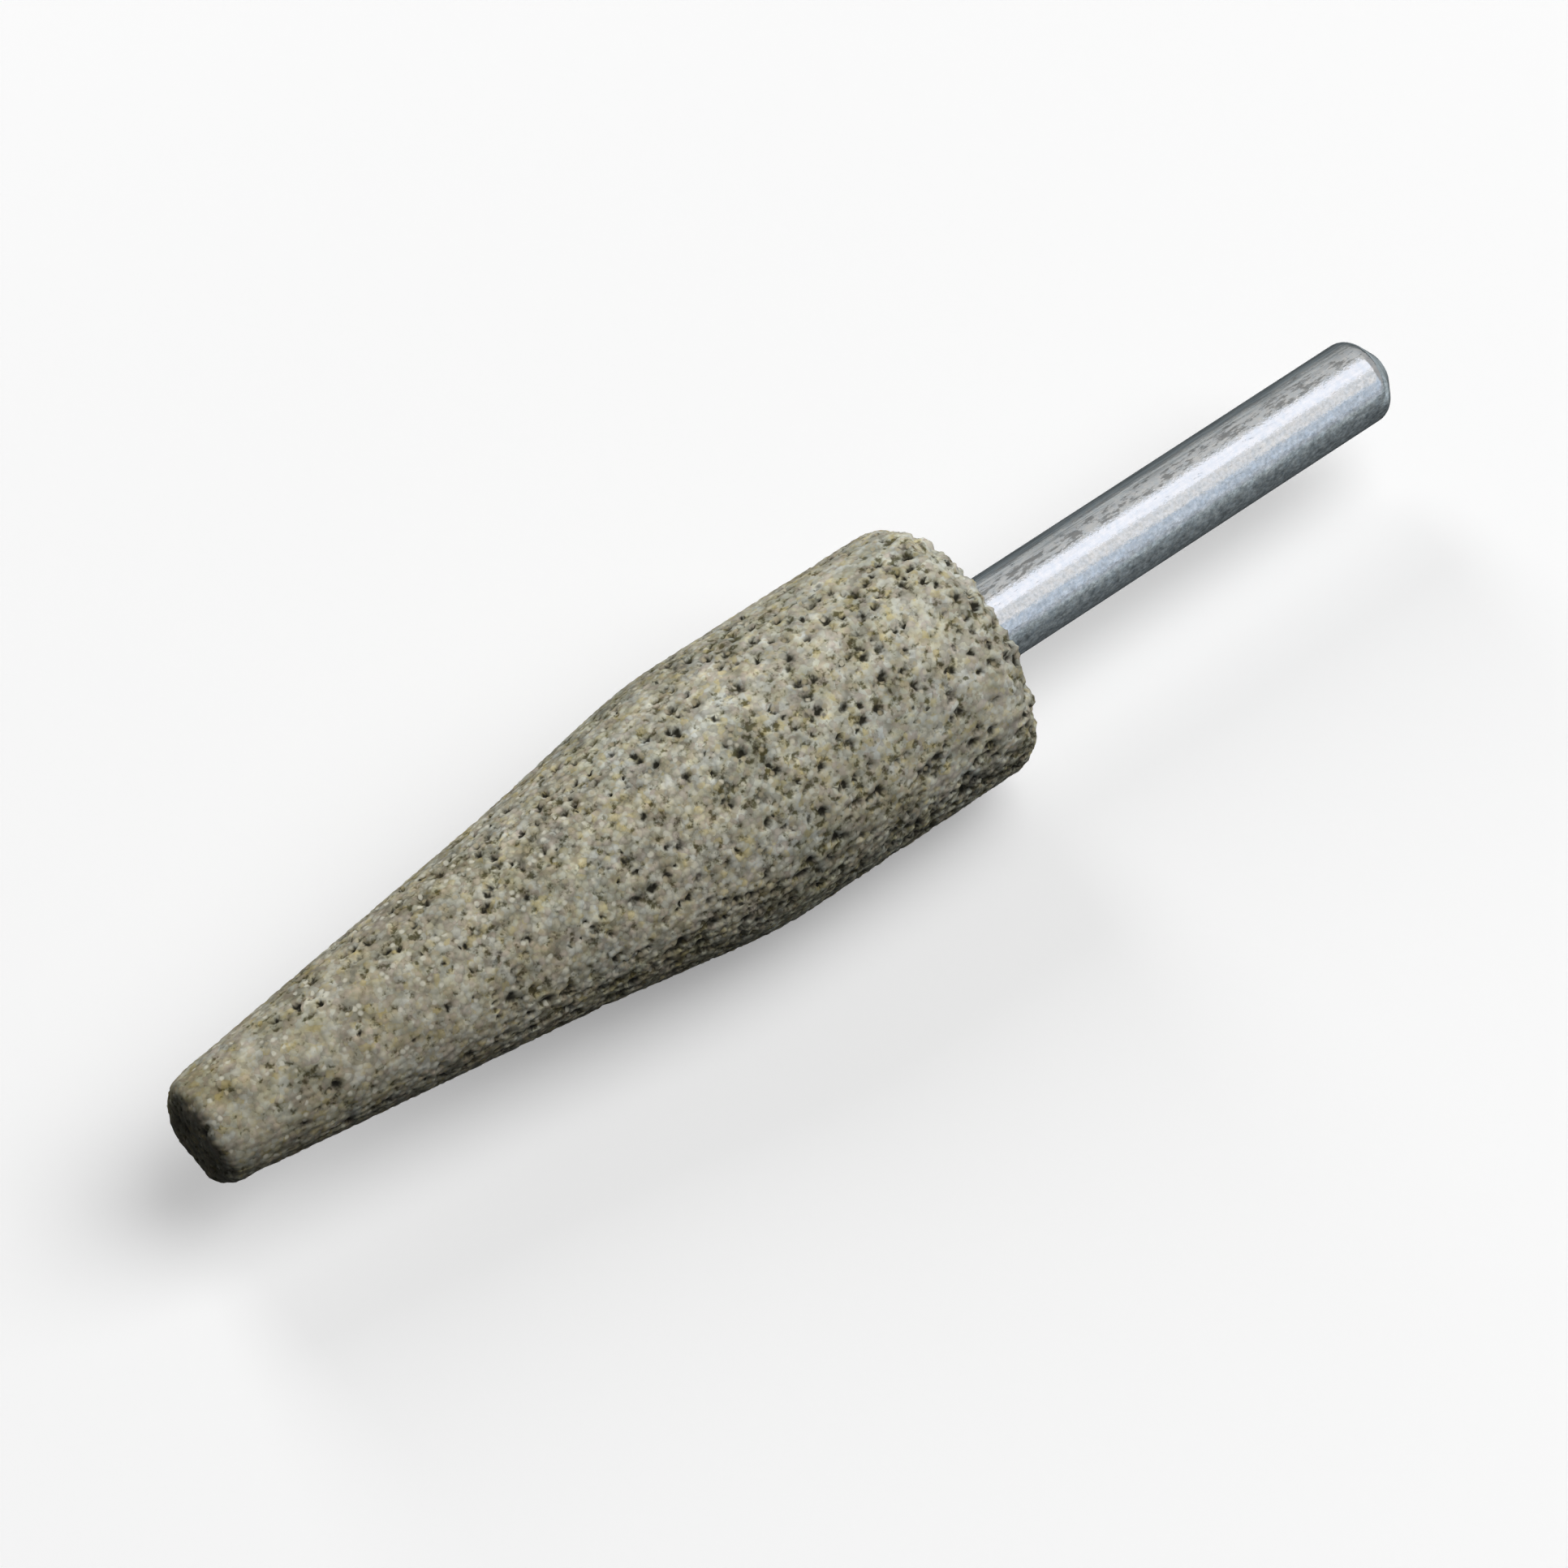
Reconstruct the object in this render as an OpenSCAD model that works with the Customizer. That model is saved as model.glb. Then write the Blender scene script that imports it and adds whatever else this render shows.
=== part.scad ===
// Mounted point: a moulded abrasive stone cemented on a steel mandrel.
// It lies on the barrel of its stone. The spin axis runs along X, from the nose to the shank.

/* [Stone] */
// Length of the stone from its nose face to its back face
stone_l = 66; // [60:0.5:76]
// Diameter of the stone at its shoulder, the widest place
stone_d = 20; // [18:0.1:24]
// Length of the barrel, from the back face to the shoulder
barrel_l = 23; // [16:0.5:28]
// Moulding draft of the barrel, in degrees on each side
barrel_draft = 0.25; // [0:0.05:1]
// Radius of the shoulder, where the barrel turns into the taper
shoulder_r = 34; // [10:1:50]
// Length of the steep taper, from the shoulder to the waist
steep_l = 13.3; // [10:0.1:20]
// Diameter at the waist, where the steep taper eases into the nose taper
waist_d = 15.5; // [13:0.1:17]
// Radius of the hollow at the waist
waist_r = 45; // [10:1:60]
// Diameter of the nose, before its edge is rounded
nose_d = 7.8; // [6:0.1:12]
// Radius of the nose edge
nose_r = 1.3; // [0.5:0.1:2.5]
// Radius of the back edge
back_r = 2.6; // [1:0.1:4]

/* [Mandrel] */
// Diameter of the shank
shank_d = 6.35; // [5:0.05:8]
// Length of the shank outside the stone
shank_l = 38; // [25:0.1:50]
// Length of the bevel on the shank's end
bevel_l = 1.3; // [0.8:0.1:2]
// Depth of that bevel, in from the shank's surface
bevel_depth = 1.8; // [0.8:0.1:2.2]
// Radius of the bevel's outer edge
bevel_r = 1.4; // [0.4:0.1:1.6]
// Length of the root, the stretch inside the stone
root_l = 24; // [18:0.5:30]
// How far the root's surface lies below the shank's
root_step = 0.3; // [0.1:0.05:0.5]
// Length of the chamfer on the root's end
root_chamfer = 0.7; // [0.3:0.1:1.2]
// Number of flutes that key the root against turning
flute_count = 18; // [8:1:24]
// Depth of a flute
flute_depth = 0.35; // [0.2:0.05:0.45]
// Number of ring grooves that key the root against pulling out
groove_count = 3; // [1:1:4]
// Width of a ring groove
groove_w = 1.4; // [0.8:0.1:2]
// Depth of a ring groove
groove_depth = 0.5; // [0.2:0.05:0.8]

/* [Cement] */
// Thickness of the cement between the root and the stone's hole
cement_gap = 0.5; // [0.4:0.05:1]
// Thickness of the cement beyond the root's end
cement_end = 0.8; // [0.3:0.1:2]

/* [Hidden] */
$fn = 128;

stone_colour = "#9d9782";
steel_colour = "#b4babf";
cement_colour = "#6f695e";

// Room by which a cut runs past the surface that it opens
cut_past = 1;
// How far a rounding arc crosses the sides that it joins
arc_hair = 0.001;

// The profile's corners are [radius, place], with place measured from the back face towards the nose.
shoulder_radius = stone_d / 2;
back_corner = [shoulder_radius - barrel_l * tan(barrel_draft), 0];
shoulder_corner = [shoulder_radius, barrel_l];
waist_corner = [waist_d / 2, barrel_l + steep_l];
nose_corner = [nose_d / 2, stone_l];

shank_radius = shank_d / 2;
root_radius = shank_radius - root_step;
bore_radius = root_radius + cement_gap;
bore_depth = root_l + cement_end;
groove_pitch = root_l / (groove_count + 1);

// The stone rests on the crown of its shoulder arc, so that crown sets the height of the spin axis.
axis_height = arc_centre(back_corner, shoulder_corner, waist_corner, shoulder_r).x + shoulder_r;
overall_l = stone_l + shank_l;
back_x = overall_l / 2 - shank_l;

// Direction from point a to point b
function direction(a, b) = (b - a) / norm(b - a);

// Half of the angle between a corner's two sides
function half_angle(a, corner, b) = acos(direction(corner, a) * direction(corner, b)) / 2;

// Centre of the arc that rounds a corner. It lies a hair nearer to the corner's two sides than the arc's
// radius, so that the arc crosses each side at a slight angle and meets it in one clear point.
function arc_centre(a, corner, b, r) =
    let (bisector = direction(corner, a) + direction(corner, b))
    corner + bisector / norm(bisector) * (r - arc_hair) / sin(half_angle(a, corner, b));

// Point of the side from a corner to point a that lies nearest to the centre of the corner's arc
function arc_foot(a, corner, b, r) =
    corner + direction(corner, a) * (r - arc_hair) / tan(half_angle(a, corner, b));

// What an arc of radius r takes from a corner; its tip lies well outside the profile.
module corner_cut(a, corner, b, r) {
    centre = arc_centre(a, corner, b, r);
    difference() {
        polygon([arc_foot(a, corner, b, r), 2 * corner - centre, arc_foot(b, corner, a, r)]);
        translate(centre) circle(r);
    }
}

// Turns a piece made along Z, with the back face at zero and the nose upwards, into its place along X.
module place_on_axis() {
    translate([back_x, 0, axis_height]) rotate([0, -90, 0]) children();
}

// Half section of the stone: a drafted barrel, a round shoulder, a hollow waist and a blunt nose
module stone_section() {
    back_centre = [0, 0];
    nose_centre = [0, stone_l];
    difference() {
        polygon([
            back_centre, back_corner, shoulder_corner,
            arc_foot(shoulder_corner, waist_corner, nose_corner, waist_r),
            arc_foot(nose_corner, waist_corner, shoulder_corner, waist_r),
            nose_corner, nose_centre
        ]);
        corner_cut(back_centre, back_corner, shoulder_corner, back_r);
        corner_cut(back_corner, shoulder_corner, waist_corner, shoulder_r);
        translate(arc_centre(shoulder_corner, waist_corner, nose_corner, waist_r)) circle(waist_r);
        corner_cut(waist_corner, nose_corner, nose_centre, nose_r);
    }
}

// Blind hole of the stone, which the root and its cement fill; past is how far it runs out of the back face.
module bore(past) {
    translate([0, 0, -past]) cylinder(r = bore_radius, h = bore_depth + past);
}

// Half section of the mandrel: the shank with its bevelled end, and the turned root
module mandrel_section() {
    end_centre = [0, -shank_l];
    end_corner = [shank_radius - bevel_depth, -shank_l];
    bevel_corner = [shank_radius, bevel_l - shank_l];
    shank_corner = [shank_radius, 0];
    difference() {
        polygon([
            end_centre, end_corner, bevel_corner, shank_corner, [root_radius, 0],
            [root_radius, root_l - root_chamfer], [root_radius - root_chamfer, root_l], [0, root_l]
        ]);
        corner_cut(end_corner, bevel_corner, shank_corner, bevel_r);
        for (i = [1 : groove_count])
            translate([root_radius - groove_depth, i * groove_pitch - groove_w / 2])
                square([groove_depth + cut_past, groove_w]);
    }
}

// Vee flutes round the root, which start a groove's width inside the stone and run out of the root's end
module root_flutes() {
    for (i = [0 : flute_count - 1])
        rotate(i * 360 / flute_count)
            translate([root_radius, 0, groove_w])
                cylinder(r = flute_depth, h = root_l, $fn = 4);
}

// Mandrel along Z, with the back face of the stone at zero
module mandrel_solid() {
    difference() {
        rotate_extrude() mandrel_section();
        root_flutes();
    }
}

module abrasive_stone() {
    color(stone_colour) place_on_axis() difference() {
        rotate_extrude() stone_section();
        bore(cut_past);
    }
}

module mandrel() {
    color(steel_colour) place_on_axis() mandrel_solid();
}

// Cement that fills the hole round the root, with the shape of its flutes and grooves
module bonding_cement() {
    color(cement_colour) place_on_axis() difference() {
        bore(0);
        mandrel_solid();
    }
}

abrasive_stone();
mandrel();
bonding_cement();
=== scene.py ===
import math

import bpy
from mathutils import Matrix, Vector


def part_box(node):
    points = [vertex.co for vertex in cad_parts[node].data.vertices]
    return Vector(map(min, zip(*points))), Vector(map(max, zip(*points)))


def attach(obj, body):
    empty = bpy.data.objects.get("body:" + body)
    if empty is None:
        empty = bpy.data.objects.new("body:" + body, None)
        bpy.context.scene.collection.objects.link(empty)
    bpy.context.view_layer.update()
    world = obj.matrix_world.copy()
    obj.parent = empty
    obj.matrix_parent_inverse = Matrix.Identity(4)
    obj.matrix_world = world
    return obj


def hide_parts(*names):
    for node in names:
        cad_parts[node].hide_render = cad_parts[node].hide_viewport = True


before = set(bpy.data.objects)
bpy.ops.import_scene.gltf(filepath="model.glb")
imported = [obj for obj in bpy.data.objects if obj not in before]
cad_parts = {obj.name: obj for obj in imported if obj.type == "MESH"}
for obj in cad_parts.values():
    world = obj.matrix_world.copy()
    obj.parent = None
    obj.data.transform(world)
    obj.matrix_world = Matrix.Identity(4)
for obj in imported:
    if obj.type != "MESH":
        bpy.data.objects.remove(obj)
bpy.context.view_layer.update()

# The abrasive stone is grit in a fired glass bond, moulded with a drafted barrel, a round shoulder and a
# long taper to a blunt nose. A blind hole in its back face takes the mandrel's root. Its surface is open:
# pale grains stand out of it, and dark pores lie between them.
MM = 0.001
stone_low, stone_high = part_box("abrasive_stone")
cement_low, cement_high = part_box("bonding_cement")
axis_z = (cement_low.z + cement_high.z) / 2
nose_x = stone_low.x
back_x = stone_high.x
crown_radius = (stone_high.y - stone_low.y) / 2
bore_radius = (cement_high.y - cement_low.y) / 2
bore_end_x = cement_low.x
hole_mouth = 0.6 * MM
hole_length = back_x - bore_end_x + bore_radius - hole_mouth
barrel_l = 23 * MM
steep_l = 13.3 * MM
barrel_draft = 0.1 * MM
back_radius = crown_radius - barrel_draft
waist_radius = 7.75 * MM
nose_radius = 3.9 * MM
nose_edge_r = 1.3 * MM
waist_edge_r = 45 * MM
shoulder_edge_r = 34 * MM
back_edge_r = 2.6 * MM
hole_edge_r = 0.2 * MM

# Half outline from the nose's centre round to the bottom of the hole: place along X, radius, edge radius
stone_outline = [
    (nose_x, 0.0, 0.0),
    (nose_x, nose_radius, nose_edge_r),
    (back_x - barrel_l - steep_l, waist_radius, waist_edge_r),
    (back_x - barrel_l, crown_radius, shoulder_edge_r),
    (back_x, back_radius, back_edge_r),
    (back_x, bore_radius, hole_edge_r),
    (bore_end_x, bore_radius, 0.0),
    (bore_end_x, 0.0, 0.0),
]

# Rows along the outline and segments round the axis, and how near points are that join where the turn closes
outline_rows = 292
turn_segments = 334
hole_share_of_rows = 0.02
edge_steps = 16
seam = 0.0005 * MM

# Sizes of the grit, and of the relief that it gives the surface, in millimetres. The slope of a grain's
# edge is in shares of its size.
grain_size = 0.50
grain_height = 0.075
grain_slope = (0.15, 0.8)
pore_spacing = 1.0
pore_depth = 0.34
gap_size = 0.65
gap_depth = 0.12

# The crumbled back rim and the uneven nose edge: sizes in millimetres, the level of noise at which a lump
# begins to stand up, the radii between which the unevenness starts, and the gain on the noise's swing
lump_size = 1.7
lump_level = 0.54
rim_height = 0.6
rim_width = 3.0
rim_radius = (bore_radius * 1.3, back_radius * 0.8)
chip_size = 3.4
chip_level = 0.56
chip_height = 0.25
chip_reach = (5.0, 0.6)
chip_radius = (1.8 * MM, 3.2 * MM)
relief_gain = 4.0

# Share of the outline over which the relief fades out at the hole's mouth
relief_fade = 0.004


def add(tree, kind, inputs=None, **settings):
    """Adds a node, sets its properties, and sets or links its inputs by name or number."""
    node = tree.nodes.new(kind)
    for name, value in settings.items():
        setattr(node, name, value)
    for key, value in (inputs or {}).items():
        if isinstance(value, bpy.types.NodeSocket):
            tree.links.new(value, node.inputs[key])
        else:
            node.inputs[key].default_value = value
    return node


def calc(tree, operation, *values):
    """Output of a math node."""
    return add(tree, "ShaderNodeMath", dict(enumerate(values)), operation=operation).outputs[0]


def calc_vector(tree, operation, *values):
    """Output of a vector math node; the number that scales a vector comes second."""
    inputs = dict(enumerate(values))
    if operation == "SCALE":
        inputs = {0: values[0], "Scale": values[1]}
    node = add(tree, "ShaderNodeVectorMath", inputs, operation=operation)
    return node.outputs["Value" if operation in ("DOT_PRODUCT", "DISTANCE") else "Vector"]


def remap(tree, value, low, high, to_low=0.0, to_high=1.0, kind="LINEAR"):
    """Value carried over from one range to another, and held at its ends."""
    inputs = {"Value": value, "From Min": low, "From Max": high, "To Min": to_low, "To Max": to_high}
    return add(tree, "ShaderNodeMapRange", inputs, interpolation_type=kind).outputs[0]


def ease(tree, value, *ranges):
    """Smooth step of a value from one range to another."""
    return remap(tree, value, *ranges, kind="SMOOTHSTEP")


def noise(tree, place, size, detail=2.0, roughness=0.5):
    """Noise node whose lumps have about the given size, in the units of place."""
    inputs = {"Vector": place, "Scale": 1 / size, "Detail": detail, "Roughness": roughness}
    return add(tree, "ShaderNodeTexNoise", inputs)


def cells(tree, place, size):
    """Cell node with cells of about the given size, in the units of place."""
    return add(tree, "ShaderNodeTexVoronoi", {"Vector": place, "Scale": 1 / size})


# Places where the pores lie thicker or thinner: along X, angle from straight up (positive on the far side),
# distance from the spin axis, reach, and how much thicker
worn_spots = [
    (-40.0, 54.0, 5.6, 6.0, 0.14),
    (-49.0, 52.0, 4.3, 4.0, -0.12),
    (-32.0, 54.0, 6.7, 5.0, -0.14),
    (-10.0, 62.0, 9.8, 8.0, -0.06),
    (-50.0, 25.0, 4.2, 4.0, 0.16),
    (-24.0, 54.0, 8.0, 9.0, -0.10),
    (-31.0, 18.0, 6.7, 7.0, 0.22),
    (-30.0, -30.0, 6.9, 6.0, -0.07),
    (-4.0, -98.0, 9.9, 7.0, 0.06),
    (6.0, 2.0, 9.9, 7.0, -0.04),
    (-34.0, -52.0, 6.4, 5.0, -0.06),
    (-44.0, -66.0, 4.9, 6.0, 0.12),
    (-15.0, -6.0, 9.2, 6.0, 0.05),
    (-23.0, -42.0, 8.0, 8.0, -0.07),
    (4.0, -66.0, 9.9, 7.0, -0.06),
    (-1.0, -14.0, 9.9, 5.0, -0.05),
    (-7.0, -40.0, 9.9, 7.0, 0.11),
    (-23.0, -80.0, 7.7, 7.0, 0.05),
    (-25.0, 28.0, 7.7, 6.0, 0.09),
    (-18.0, 24.0, 8.7, 5.0, -0.09),
    (-18.0, -42.0, 8.7, 6.0, -0.09),
    (-46.0, -25.0, 4.7, 5.0, -0.09),
    (4.0, 62.0, 9.9, 9.0, -0.14),
]

# Places where the colour is darkened, with the same columns: painted shade on the limbs and nose, and a patch
# on the barrel's far side
darkened_spots = [
    (-10.0, 60.0, 9.8, 9.0, 0.36),
    (-4.0, -98.0, 9.9, 8.0, 0.34),
    (5.0, 42.0, 9.9, 9.0, 0.22),
    (-50.0, 24.0, 4.2, 4.0, 0.16),
]


def spotted(tree, place, level, spots):
    """Level to which each spot adds its amount, which fades out at the spot's reach."""
    for x, angle, radius, reach, amount in spots:
        turn = math.radians(angle)
        centre = (x, radius * math.sin(turn), axis_z / MM + radius * math.cos(turn))
        away = calc_vector(tree, "DISTANCE", place, centre)
        level = calc(tree, "ADD", level, ease(tree, away, reach, 0.0, 0.0, amount))
    return level


# Rise over radius at which the stone's lower side begins, and at which it is full
low_side_range = (0.6, -0.2)


def lowness(tree, place):
    """Mask of the stone's lower side at a place in millimetres: 0 on top, 1 from halfway down."""
    spot = add(tree, "ShaderNodeSeparateXYZ", {0: place}).outputs
    rise = calc(tree, "SUBTRACT", spot["Z"], axis_z / MM)
    rise_squared = calc(tree, "MULTIPLY", rise, rise)
    radius = calc(tree, "SQRT", calc(tree, "MULTIPLY_ADD", spot["Y"], spot["Y"], rise_squared))
    return ease(tree, calc(tree, "DIVIDE", rise, radius), *low_side_range)


# Crowding of the pores: the size of its patches, what it gains from the nose to the barrel, and below
nose_end = nose_x / MM
crowd_patch = 3.6
crowd_run = (nose_end, -22.0)
crowd_gain = (-0.15, 0.03)
crowd_below = 0.07


def crowding(tree, place):
    """How thick the pores lie at a place in millimetres, about 0.5 on average and less towards the nose."""
    along = add(tree, "ShaderNodeSeparateXYZ", {0: place}).outputs["X"]
    lean = remap(tree, along, *crowd_run, *crowd_gain)
    level = calc(tree, "ADD", noise(tree, place, crowd_patch).outputs["Fac"], lean)
    level = calc(tree, "MULTIPLY_ADD", lowness(tree, place), crowd_below, level)
    return spotted(tree, place, level, worn_spots)


# Pores: how their cells bend, how many are open where they lie thin and thick, and how far they reach
half = (0.5, 0.5, 0.5)
pore_bend_size = 0.55
pore_bend = 0.95
pore_crowd = (0.34, 0.62)
pore_share = (0.1, 0.95)
pore_nose_run = (-49.0, -32.0)
pore_nose_share = (0.14, 1.0)
pore_barrel_run = (-26.0, 4.0)
pore_barrel_share = (1.0, 0.82)
pore_barrel_reach = (0.0, 0.09)
pore_reach = (0.27, 0.55)
pore_low_reach = 0.1
pore_floor = 0.3


def pores(tree, place, crowd):
    """Mask of the open pores at a place in millimetres: 1 in a pore, 0 on the grains."""
    bend = calc_vector(tree, "SUBTRACT", noise(tree, place, pore_bend_size).outputs["Color"], half)
    bent = calc_vector(tree, "ADD", place, calc_vector(tree, "SCALE", bend, pore_bend))
    pore = cells(tree, bent, pore_spacing)
    chance = add(tree, "ShaderNodeSeparateXYZ", {0: pore.outputs["Color"]})
    along = add(tree, "ShaderNodeSeparateXYZ", {0: place}).outputs["X"]
    share = ease(tree, crowd, *pore_crowd, *pore_share)
    share = calc(tree, "MULTIPLY", share, ease(tree, along, *pore_nose_run, *pore_nose_share))
    share = calc(tree, "MULTIPLY", share, ease(tree, along, *pore_barrel_run, *pore_barrel_share))
    kept = calc(tree, "LESS_THAN", chance.outputs["X"], share)
    reach = remap(tree, chance.outputs["Y"], 0.0, 1.0, *pore_reach)
    outer = calc(tree, "MULTIPLY_ADD", lowness(tree, place), pore_low_reach, reach)
    outer = calc(tree, "ADD", outer, ease(tree, along, *pore_barrel_run, *pore_barrel_reach))
    mask = ease(tree, pore.outputs["Distance"], outer, calc(tree, "MULTIPLY", outer, pore_floor))
    return calc(tree, "MULTIPLY", mask, kept)


# Gaps: how much the crowding of the pores opens them, and the levels at which they begin and are full
gap_crowd = 0.3
gap_range = (0.68, 0.84)


def gaps(tree, place, crowd):
    """Mask of the loose, shaded gaps between grains at a place in millimetres."""
    gap = noise(tree, place, gap_size, detail=3.0, roughness=0.58).outputs["Fac"]
    level = calc(tree, "MULTIPLY_ADD", crowd, gap_crowd, gap)
    return ease(tree, level, *gap_range)


def make_stone_tree():
    """Geometry nodes that turn the half outline about the spin axis and roughen it with grains and pores."""
    tree = bpy.data.node_groups.new("turned_stone", "GeometryNodeTree")
    sockets = [
        ("Outline", "NodeSocketGeometry", None),
        ("Rows", "NodeSocketInt", outline_rows),
        ("Segments", "NodeSocketInt", turn_segments),
        ("Hole Share Of Rows", "NodeSocketFloat", hole_share_of_rows),
        ("Hole Length", "NodeSocketFloat", hole_length),
        ("Grain Height", "NodeSocketFloat", grain_height),
        ("Gap Depth", "NodeSocketFloat", gap_depth),
        ("Pore Depth", "NodeSocketFloat", pore_depth),
        ("Rim Height", "NodeSocketFloat", rim_height),
        ("Chip Height", "NodeSocketFloat", chip_height),
        ("Material", "NodeSocketMaterial", None),
    ]
    for name, kind, default in sockets:
        socket = tree.interface.new_socket(name, in_out="INPUT", socket_type=kind)
        if default is not None:
            socket.default_value = default
    tree.interface.new_socket("Stone", in_out="OUTPUT", socket_type="NodeSocketGeometry")
    given = tree.nodes.new("NodeGroupInput").outputs

    # The outline's corners are rounded, each by its own radius.
    curve = add(tree, "GeometryNodeMeshToCurve", {"Mesh": given["Outline"]})
    radius = add(tree, "GeometryNodeInputNamedAttribute", {"Name": "edge_radius"}, data_type="FLOAT")
    rounded = add(tree, "GeometryNodeFilletCurve", {
        "Curve": curve.outputs[0], "Radius": radius.outputs[0], "Limit Radius": True, "Count": edge_steps},
        mode="POLY")

    # A flat grid holds the rows along the outline and the segments round the axis.
    rows = calc(tree, "ADD", given["Rows"], 1.0)
    columns = calc(tree, "ADD", given["Segments"], 1.0)
    grid = add(tree, "GeometryNodeMeshGrid", {
        "Size X": 1.0, "Size Y": 1.0, "Vertices X": rows, "Vertices Y": columns})
    flat = add(tree, "ShaderNodeSeparateXYZ", {0: tree.nodes.new("GeometryNodeInputPosition").outputs[0]})
    along = calc(tree, "ADD", flat.outputs["X"], 0.5)
    turn = calc(tree, "MULTIPLY", calc(tree, "ADD", flat.outputs["Y"], 0.5), 2 * math.pi)
    open_rows = calc(tree, "SUBTRACT", 1.0, given["Hole Share Of Rows"])
    length = add(tree, "GeometryNodeCurveLength", {0: rounded.outputs[0]}).outputs[0]
    hole_share = calc(tree, "DIVIDE", given["Hole Length"], length)
    open_outline = calc(tree, "SUBTRACT", 1.0, hole_share)
    outside = remap(tree, along, 0.0, open_rows, 0.0, open_outline)
    inside = remap(tree, along, open_rows, 1.0, 0.0, hole_share)
    factor = calc(tree, "ADD", outside, inside)
    sample = add(tree, "GeometryNodeSampleCurve", {
        "Curves": rounded.outputs[0], "Factor": factor}, mode="FACTOR")
    point = add(tree, "ShaderNodeSeparateXYZ", {0: sample.outputs["Position"]}).outputs
    tangent = add(tree, "ShaderNodeSeparateXYZ", {0: sample.outputs["Tangent"]}).outputs
    normal_x = calc(tree, "MULTIPLY", tangent["Z"], -1.0)
    normal_r = tangent["X"]

    def turned(x, r):
        """Place at a distance from the spin axis, turned about it."""
        y = calc(tree, "MULTIPLY", r, calc(tree, "SINE", turn))
        z = calc(tree, "ADD", calc(tree, "MULTIPLY", r, calc(tree, "COSINE", turn)), axis_z)
        return add(tree, "ShaderNodeCombineXYZ", {"X": x, "Y": y, "Z": z}).outputs[0]

    smooth_place = turned(point["X"], point["Z"])
    place = calc_vector(tree, "SCALE", smooth_place, 1 / MM)

    # Grains stand up, pores and gaps sink in, the back rim crumbles and the nose edge is a little uneven.
    grain = ease(tree, cells(tree, place, grain_size).outputs["Distance"], *grain_slope)
    dip = calc(tree, "MULTIPLY", grain, given["Grain Height"])
    crowd = crowding(tree, place)
    hole = calc(tree, "MULTIPLY", pores(tree, place, crowd), given["Pore Depth"])
    hole = calc(tree, "MULTIPLY_ADD", gaps(tree, place, crowd), given["Gap Depth"], hole)
    from_back = calc(tree, "SUBTRACT", back_x / MM, calc(tree, "DIVIDE", point["X"], MM))
    rim = ease(tree, from_back, rim_width, 0.0)
    rim = calc(tree, "MULTIPLY", rim, ease(tree, point["Z"], *rim_radius))
    lump = noise(tree, place, lump_size, detail=2.0, roughness=0.6).outputs["Fac"]
    lumps = calc(tree, "MULTIPLY", calc(tree, "SUBTRACT", lump, lump_level), rim)
    crumble = calc(tree, "MULTIPLY", lumps, calc(tree, "MULTIPLY", given["Rim Height"], relief_gain))
    from_nose = calc(tree, "SUBTRACT", calc(tree, "DIVIDE", point["X"], MM), nose_end)
    nose_edge = ease(tree, from_nose, *chip_reach)
    nose_edge = calc(tree, "MULTIPLY", nose_edge, ease(tree, point["Z"], *chip_radius))
    chip = noise(tree, place, chip_size, detail=1.0).outputs["Fac"]
    chips = calc(tree, "SUBTRACT", chip, chip_level)
    chips = calc(tree, "MULTIPLY", chips, calc(tree, "MULTIPLY", given["Chip Height"], relief_gain))
    crumble = calc(tree, "MULTIPLY_ADD", chips, nose_edge, crumble)
    height = calc(tree, "SUBTRACT", crumble, calc(tree, "ADD", dip, hole))
    outside_only = ease(tree, factor, open_outline, calc(tree, "SUBTRACT", open_outline, relief_fade))
    height = calc(tree, "MULTIPLY", calc(tree, "MULTIPLY", height, outside_only), MM)
    rough_r = calc(tree, "ADD", point["Z"], calc(tree, "MULTIPLY", normal_r, height))
    rough_x = calc(tree, "ADD", point["X"], calc(tree, "MULTIPLY", normal_x, height))
    rough_r = calc(tree, "MINIMUM", rough_r, crown_radius)
    rough_x = calc(tree, "MAXIMUM", rough_x, nose_x)

    shaped = add(tree, "GeometryNodeStoreNamedAttribute", {
        "Geometry": grid.outputs["Mesh"], "Name": "rest_mm", "Value": place},
        data_type="FLOAT_VECTOR", domain="POINT")
    shaped = add(tree, "GeometryNodeSetPosition", {
        "Geometry": shaped.outputs[0], "Position": turned(rough_x, rough_r)})
    closed = add(tree, "GeometryNodeMergeByDistance", {"Geometry": shaped.outputs[0], "Distance": seam})
    smooth = add(tree, "GeometryNodeSetShadeSmooth", {"Geometry": closed.outputs[0], "Shade Smooth": True})
    real = add(tree, "GeometryNodeRealizeInstances", {"Geometry": smooth.outputs[0]})
    dressed = add(tree, "GeometryNodeSetMaterial", {
        "Geometry": real.outputs[0], "Material": given["Material"]})
    add(tree, "NodeGroupOutput", {0: dressed.outputs[0]})
    return tree


def colour_ramp(tree, factor, stops):
    """Colour ramp over a factor; each stop is a position and a colour."""
    node = add(tree, "ShaderNodeValToRGB", {"Fac": factor})
    ramp = node.color_ramp
    while len(ramp.elements) < len(stops):
        ramp.elements.new(1.0)
    for element, (position, colour) in zip(ramp.elements, stops):
        element.position = position
        element.color = (*colour, 1.0)
    return node.outputs["Color"]


def mix_colour(tree, blend, factor, first, second):
    """Output of a colour mix."""
    node = add(tree, "ShaderNodeMix", data_type="RGBA", blend_type=blend)
    for socket, value in ((node.inputs[0], factor), (node.inputs[6], first), (node.inputs[7], second)):
        if isinstance(value, bpy.types.NodeSocket):
            tree.links.new(value, socket)
        elif isinstance(value, tuple):
            socket.default_value = (*value, 1.0)
        else:
            socket.default_value = value
    return node.outputs[2]


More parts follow.
